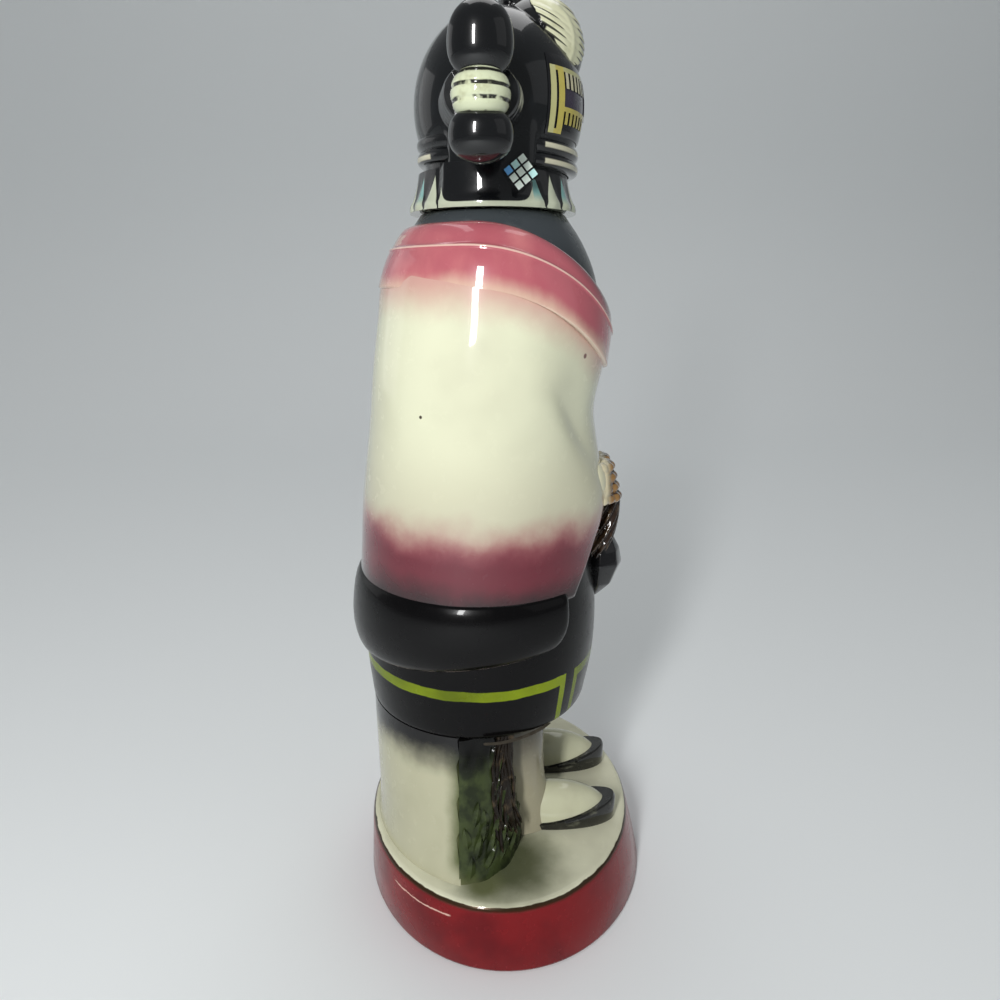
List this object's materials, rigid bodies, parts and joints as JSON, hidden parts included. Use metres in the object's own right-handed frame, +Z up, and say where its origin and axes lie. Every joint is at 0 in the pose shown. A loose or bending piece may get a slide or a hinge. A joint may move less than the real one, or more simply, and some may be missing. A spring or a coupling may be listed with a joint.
{
  "type": "figural decanter",
  "caption": "Glazed ceramic decanter shaped as a standing robed figure on an oval plinth; the head with its hair whorls lifts out on a cork as the stopper.",
  "frame": {"origin": "middle of the plinth's underside, on the surface the decanter stands on", "axes": "+Z up; the figure faces -Y; its right side is towards -X"},
  "size_m": [0.14, 0.117, 0.3285],
  "materials": {
    "oxblood_glaze": "mirror-gloss glaze",
    "cream_glaze": "gloss glaze, airbrushed at the edges",
    "black_glaze": "mirror-gloss glaze",
    "rose_glaze": "airbrushed gloss glaze",
    "green_glaze": "airbrushed gloss glaze",
    "tan_glaze": "gloss glaze",
    "brown_glaze": "gloss glaze",
    "cord_glaze": "gloss glaze",
    "turquoise_glaze": "gloss glaze",
    "cork": "matt natural cork"
  },
  "bodies": {
    "decanter": {"plinth": "oxblood_glaze", "leg_column": "cream_glaze", "right_boot": "cream_glaze", "left_boot": "cream_glaze", "right_moccasin": "cream_glaze", "left_moccasin": "cream_glaze", "right_sole": "black_glaze", "left_sole": "black_glaze", "spruce_bough": "green_glaze", "bottle_body": "black_glaze", "hem_band": "black_glaze", "cloak_shell": "cream_glaze", "shoulder_border": "rose_glaze", "right_hand": "tan_glaze", "left_hand": "tan_glaze", "right_cuff": "cream_glaze", "left_cuff": "cream_glaze", "pouch": "black_glaze", "sash_bundle": "brown_glaze"},
    "cork": {"cork": "cork"},
    "head_stopper": {"feather_collar": "black_glaze", "head_shell": "black_glaze", "neck_ring": "black_glaze", "face_mask": "black_glaze", "right_whorl_tie": "cord_glaze", "left_whorl_tie": "cord_glaze", "right_whorl_lobes": "black_glaze", "left_whorl_lobes": "black_glaze", "right_whorl_stub": "black_glaze", "left_whorl_stub": "black_glaze", "right_ear_tablet": "turquoise_glaze", "left_ear_tablet": "turquoise_glaze", "right_plume": "cream_glaze", "left_plume": "cream_glaze", "crown_knot": "black_glaze"}
  },
  "joints": [
    {"name": "cork_lift", "type": "slide", "parent": "decanter", "child": "cork", "axis": [0, 0, 1], "range_m": [0, 0.05]},
    {"name": "head_turn", "type": "hinge", "parent": "cork", "child": "head_stopper", "pos_m": [0, 0.0025, 0.27], "axis": [0, 0, 1], "continuous": true}
  ]
}
